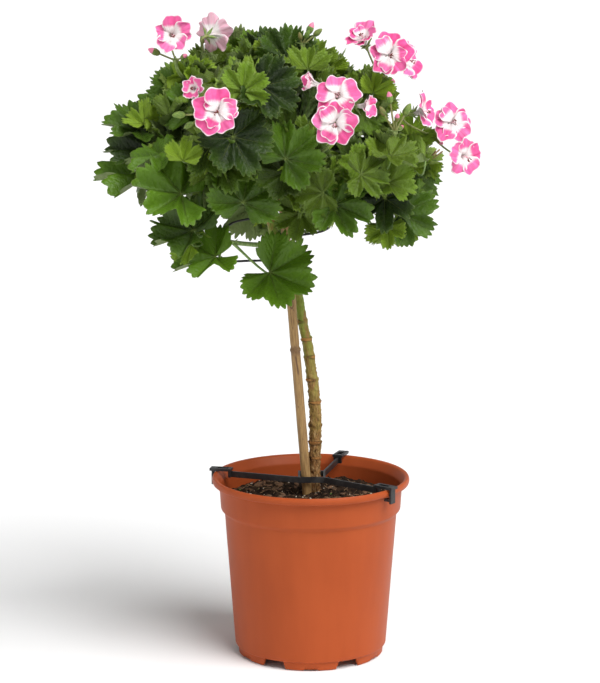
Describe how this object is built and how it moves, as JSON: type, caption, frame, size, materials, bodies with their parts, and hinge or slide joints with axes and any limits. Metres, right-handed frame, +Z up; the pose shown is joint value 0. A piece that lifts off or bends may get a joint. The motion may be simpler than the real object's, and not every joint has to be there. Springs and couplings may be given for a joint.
{
  "type": "potted regal pelargonium standard",
  "caption": "Flowering pelargonium grown as a standard: a round leafy crown with pink and white blooms on one staked trunk in a plastic nursery pot.",
  "frame": {"origin": "on the surface that the pot stands on, under the middle of the plant's bounding box; the pot's axis is at x 0.0215, y -0.0023", "axes": "+Z up along the trunk, -Y towards the front of the plant, +X to the viewer's right"},
  "size_m": [0.3557, 0.3258, 0.6097],
  "materials": {
    "terracotta_plastic": "satin",
    "peat": "matte",
    "black_plastic": "satin",
    "dark_wire": "satin",
    "bamboo": "satin",
    "bark": "matte",
    "foliage": "satin",
    "petals": "matte"
  },
  "bodies": {
    "root": {"nursery_pot": "terracotta_plastic", "soil": "peat", "pot_bridge": "black_plastic", "cane": "bamboo", "cane_tie": "dark_wire", "crown_wire": "dark_wire", "trunk": "bark", "leafy_stem_low_left": "foliage", "leafy_stem_left": "foliage", "leafy_stem_left_upper": "foliage", "leafy_stem_upper_left": "foliage", "leafy_stem_front_left": "foliage", "leafy_stem_top_left": "foliage", "leafy_stem_top": "foliage", "leafy_stem_top_right": "foliage", "leafy_stem_front": "foliage", "leafy_stem_front_low": "foliage", "leafy_stem_right": "foliage", "leafy_stem_right_low": "foliage", "leafy_stem_right_upper": "foliage", "leafy_stem_right_far": "foliage", "leafy_stem_back_low_right": "foliage", "leafy_stem_back_right": "foliage", "leafy_stem_back_left": "foliage", "leafy_stem_back_low_left": "foliage", "leafy_stem_back_top_right": "foliage", "leafy_stem_back_top_left": "foliage", "leafy_stem_back_under": "foliage", "bloom_01": "petals", "bloom_02": "petals", "bloom_03": "petals", "bloom_04": "petals", "bloom_05": "petals", "bloom_06": "petals", "bloom_07": "petals", "bloom_08": "petals", "bloom_09": "petals", "bloom_10": "petals", "bloom_11": "petals", "bloom_12": "petals", "bloom_13": "petals", "bloom_14": "petals", "bloom_15": "petals", "bloom_16": "petals", "bloom_17": "petals"}
  },
  "joints": []
}
